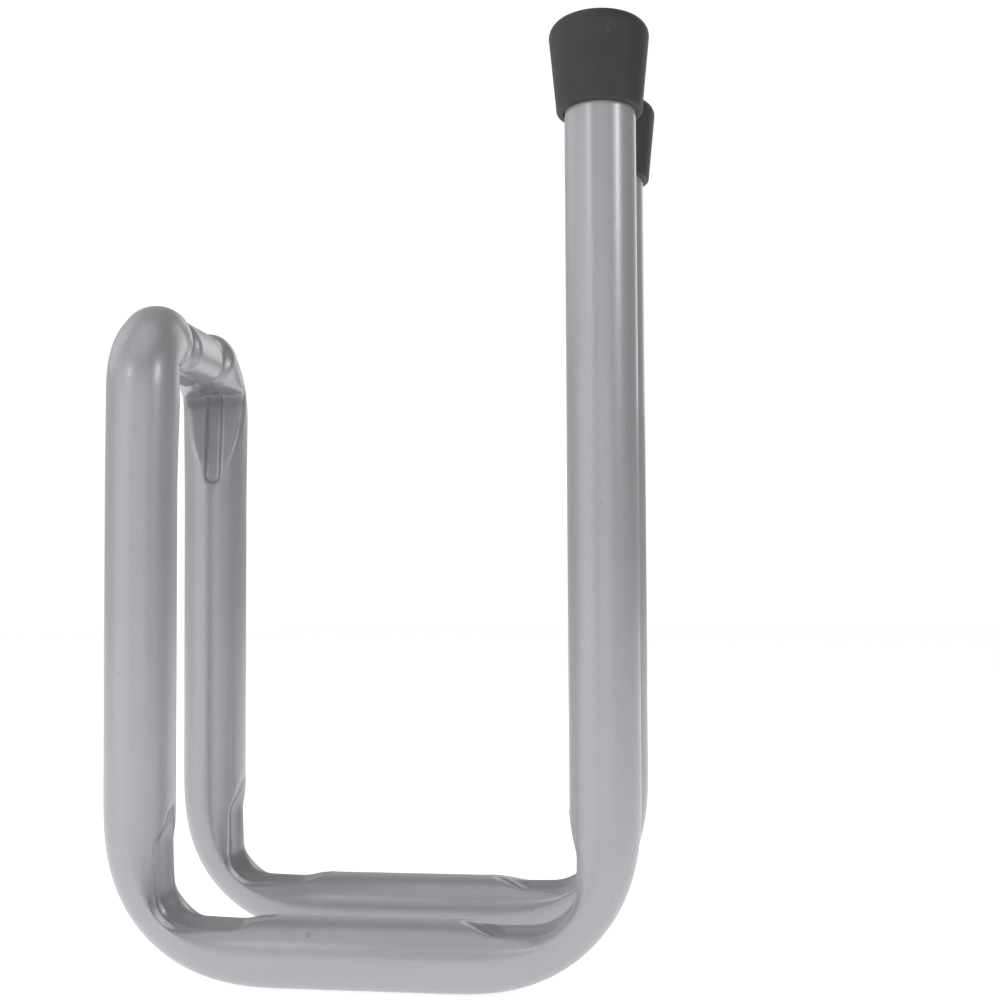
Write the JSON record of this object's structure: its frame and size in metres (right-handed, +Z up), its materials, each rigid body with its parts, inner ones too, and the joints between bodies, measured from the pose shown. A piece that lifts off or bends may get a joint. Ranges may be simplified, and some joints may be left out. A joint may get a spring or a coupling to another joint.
{
  "type": "garage utility hook",
  "caption": "Wall-mounted double J hook bent from one steel tube, with two deep cradles joined at the front by a cross run, and a flared rubber cap on each back leg.",
  "frame": {"origin": "under the middle of the hook, level with the underside of its two bottom runs", "axes": "+Z up, along the legs; +Y towards the wall, where the two long legs are; +X to the right as seen from the front"},
  "size_m": [0.0824, 0.1492, 0.2545],
  "materials": {
    "painted_tube": "satin silver-grey metallic powder coat",
    "cap_rubber": "matte charcoal rubber with a fine grain"
  },
  "bodies": {
    "root": {"hook_tube": "painted_tube", "end_cap_left": "cap_rubber", "end_cap_right": "cap_rubber"}
  },
  "joints": []
}
